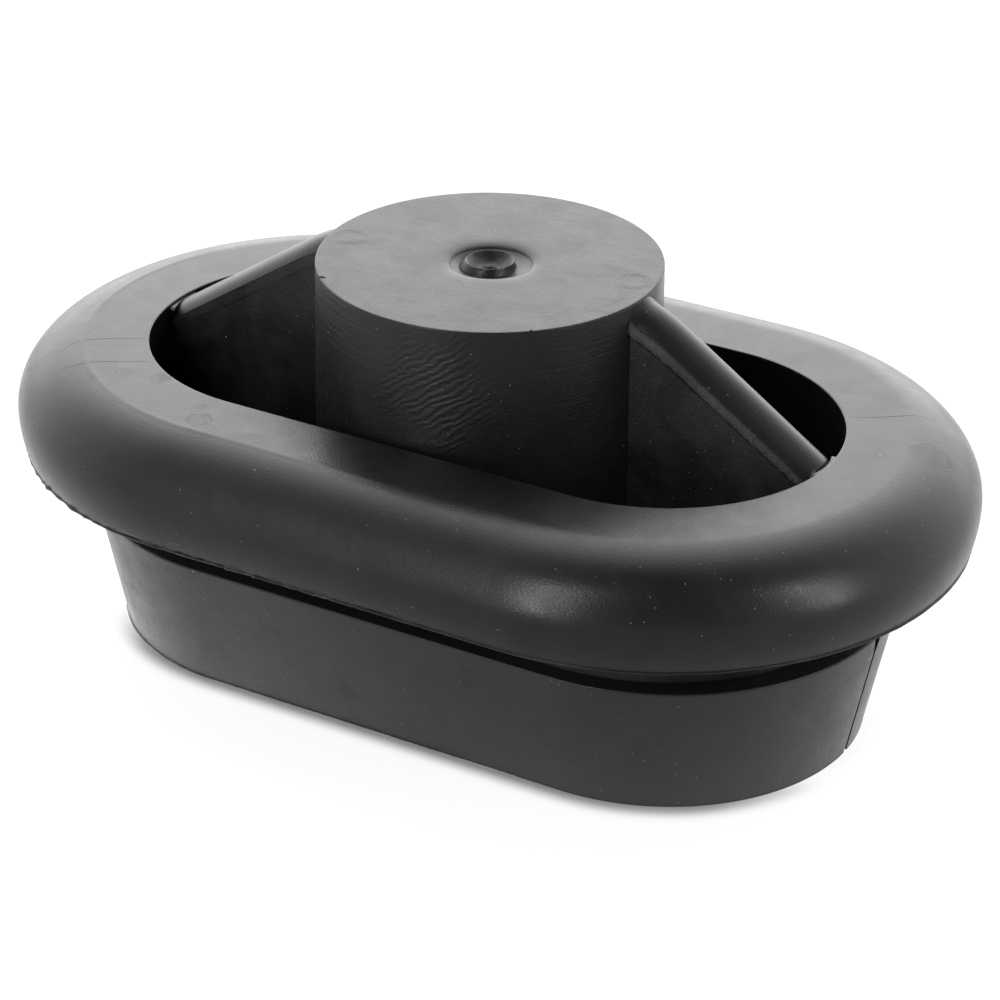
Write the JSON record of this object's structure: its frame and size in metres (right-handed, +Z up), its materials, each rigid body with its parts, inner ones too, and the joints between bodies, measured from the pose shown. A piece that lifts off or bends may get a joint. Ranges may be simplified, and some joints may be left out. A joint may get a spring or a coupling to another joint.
{
  "type": "oval grommet plug",
  "caption": "Oval black rubber plug with a rounded flange, a panel groove, a tapered skirt and an open pocket with a ribbed centre boss.",
  "frame": {"origin": "centre of the base, on the surface that the plug stands on", "axes": "+X along the oval's long axis, +Z up out of the pocket's mouth, -Y towards the front half of the skirt"},
  "size_m": [0.12, 0.0754, 0.0514],
  "materials": {
    "rubber_satin": "satin moulded rubber with a faint bloom and water marks",
    "rubber_skirt": "even satin moulded rubber with a fine grain",
    "rubber_boss": "satin moulded rubber with faint turning marks and smudges",
    "rubber_dull": "dull moulded rubber inside the pocket and the groove"
  },
  "bodies": {
    "root": {"rim_flange": "rubber_satin", "groove_neck": "rubber_dull", "skirt_front": "rubber_skirt", "skirt_back": "rubber_skirt", "pocket_floor": "rubber_dull", "centre_boss": "rubber_boss", "gate_nub": "rubber_boss", "rib_web_left": "rubber_dull", "rib_web_right": "rubber_dull", "rib_bead_left": "rubber_satin", "rib_bead_right": "rubber_satin"}
  },
  "joints": []
}
